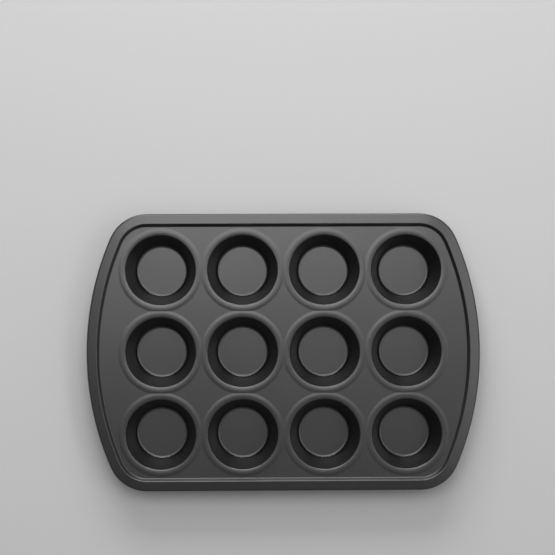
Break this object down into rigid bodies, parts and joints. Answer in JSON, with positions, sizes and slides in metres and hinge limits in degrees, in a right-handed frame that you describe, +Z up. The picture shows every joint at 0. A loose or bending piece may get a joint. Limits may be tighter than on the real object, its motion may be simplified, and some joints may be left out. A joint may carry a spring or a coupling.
{
  "type": "muffin tin",
  "caption": "Dark non-stick coated steel muffin tin: rows of round tapered cups in a sunken web, inside a raised border with bowed short sides and a curled wired edge.",
  "frame": {"origin": "middle of the tin's outline, on the plane that the cup floors rest on", "axes": "+X along the long side, +Y across towards the back long side, +Z up out of the cup mouths"},
  "size_m": [0.3934, 0.2768, 0.0336],
  "materials": {
    "coated_steel": "satin",
    "bare_wire": "satin"
  },
  "bodies": {
    "root": {"web": "coated_steel", "border": "coated_steel", "cup_a1": "coated_steel", "cup_a2": "coated_steel", "cup_a3": "coated_steel", "cup_a4": "coated_steel", "cup_b1": "coated_steel", "cup_b2": "coated_steel", "cup_b3": "coated_steel", "cup_b4": "coated_steel", "cup_c1": "coated_steel", "cup_c2": "coated_steel", "cup_c3": "coated_steel", "cup_c4": "coated_steel", "rim_wire": "bare_wire"}
  },
  "joints": []
}
